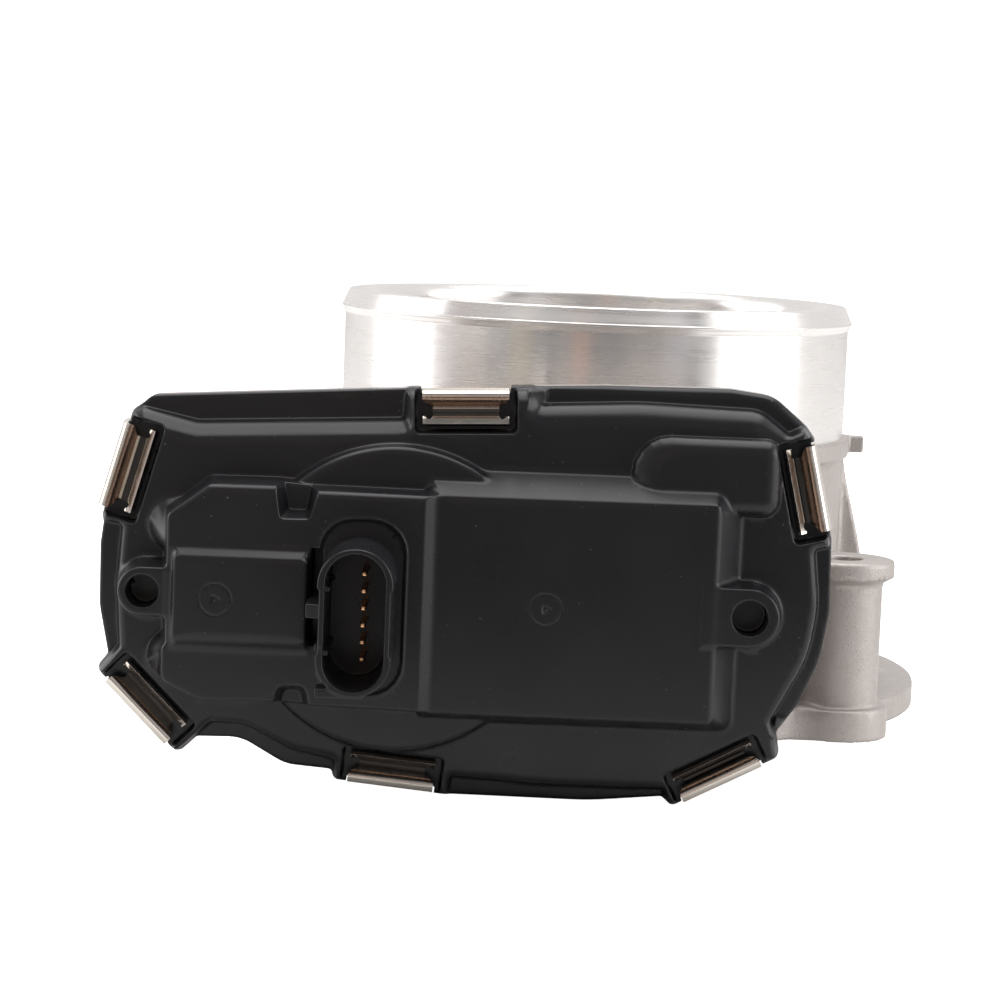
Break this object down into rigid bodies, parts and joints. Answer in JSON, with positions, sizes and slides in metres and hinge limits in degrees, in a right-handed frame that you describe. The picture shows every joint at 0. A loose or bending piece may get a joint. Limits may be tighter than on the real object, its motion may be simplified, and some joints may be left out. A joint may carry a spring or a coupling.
{
  "type": "throttle body",
  "caption": "Electronic throttle body: aluminium butterfly-valve housing with a geared motor drive under a clipped plastic cover with a socket connector.",
  "frame": {"origin": "centre of the air bore on the manifold face of the flange", "axes": "+Z along the bore towards the inlet lip; -Y towards the gear cover and its connector; +X to the right when looking at the cover"},
  "size_m": [0.1524, 0.162, 0.0861],
  "materials": {
    "cast_aluminium": "fine blasted casting with turned neck and lip",
    "cover_plastic": "dark charcoal, satin, glass-filled moulding",
    "spring_steel": "bright nickel-plated spring steel",
    "steel": "ground",
    "plate_metal": "turned and milled sheet",
    "gear_nylon": "natural nylon, satin",
    "seal_rubber": "matt",
    "magnet": "dark grey ferrite",
    "copper": "bare copper alloy",
    "terminal_gold": "gold-flashed copper alloy",
    "sintered_bronze": "oil-filled bronze, satin",
    "board": "solder-masked circuit board",
    "motor_plastic": "satin"
  },
  "bodies": {
    "housing": {"throttle_housing": "cast_aluminium", "end_plug": "steel", "stop_screw": "steel", "front_bearing_outer_race": "steel", "front_bearing_balls": "steel", "front_seal": "seal_rubber", "rear_bearing": "steel", "rear_seal": "seal_rubber", "return_spring": "steel", "intermediate_pin": "steel", "motor_can": "steel", "motor_magnets": "magnet", "motor_end_cap": "motor_plastic", "motor_front_bush": "sintered_bronze", "motor_rear_bush": "sintered_bronze", "motor_wave_washer": "spring_steel", "motor_screws": "steel", "motor_contacts": "copper", "lead_frame": "copper", "sensor_board": "board", "cover": "cover_plastic", "cover_seal": "seal_rubber", "clip_top": "spring_steel", "clip_upper_left": "spring_steel", "clip_upper_right": "spring_steel", "clip_lower_left": "spring_steel", "clip_bottom": "spring_steel", "clip_lower_right": "spring_steel", "terminal_1": "terminal_gold", "terminal_2": "terminal_gold", "terminal_3": "terminal_gold", "terminal_4": "terminal_gold", "terminal_5": "terminal_gold", "terminal_6": "terminal_gold"},
    "throttle": {"throttle_shaft": "steel", "throttle_plate": "plate_metal", "plate_screws": "steel", "front_bearing_inner_race": "steel", "sector_gear": "gear_nylon", "sensor_rotor": "magnet"},
    "intermediate": {"intermediate_gear": "gear_nylon"},
    "motor_rotor": {"motor_armature": "copper", "motor_shaft": "steel", "motor_pinion": "sintered_bronze"}
  },
  "joints": [
    {"name": "throttle_turn", "type": "hinge", "parent": "housing", "child": "throttle", "pos_m": [0, 0, 0.026], "axis": [0, 1, 0], "range_deg": [-7, 77], "stiffness_Nm_per_rad": 0.3, "deforming": ["return_spring"]},
    {"name": "intermediate_turn", "type": "hinge", "parent": "housing", "child": "intermediate", "pos_m": [-0.035, 0, 0.026], "axis": [0, 1, 0], "range_deg": [-232, 22]},
    {"name": "motor_turn", "type": "hinge", "parent": "housing", "child": "motor_rotor", "pos_m": [-0.065, 0, 0.026], "axis": [0, 1, 0], "range_deg": [-85, 925]}
  ],
  "couplings": [
    {"joint": "intermediate_turn", "follows": "throttle_turn", "ratio": -3},
    {"joint": "motor_turn", "follows": "throttle_turn", "ratio": 12}
  ]
}
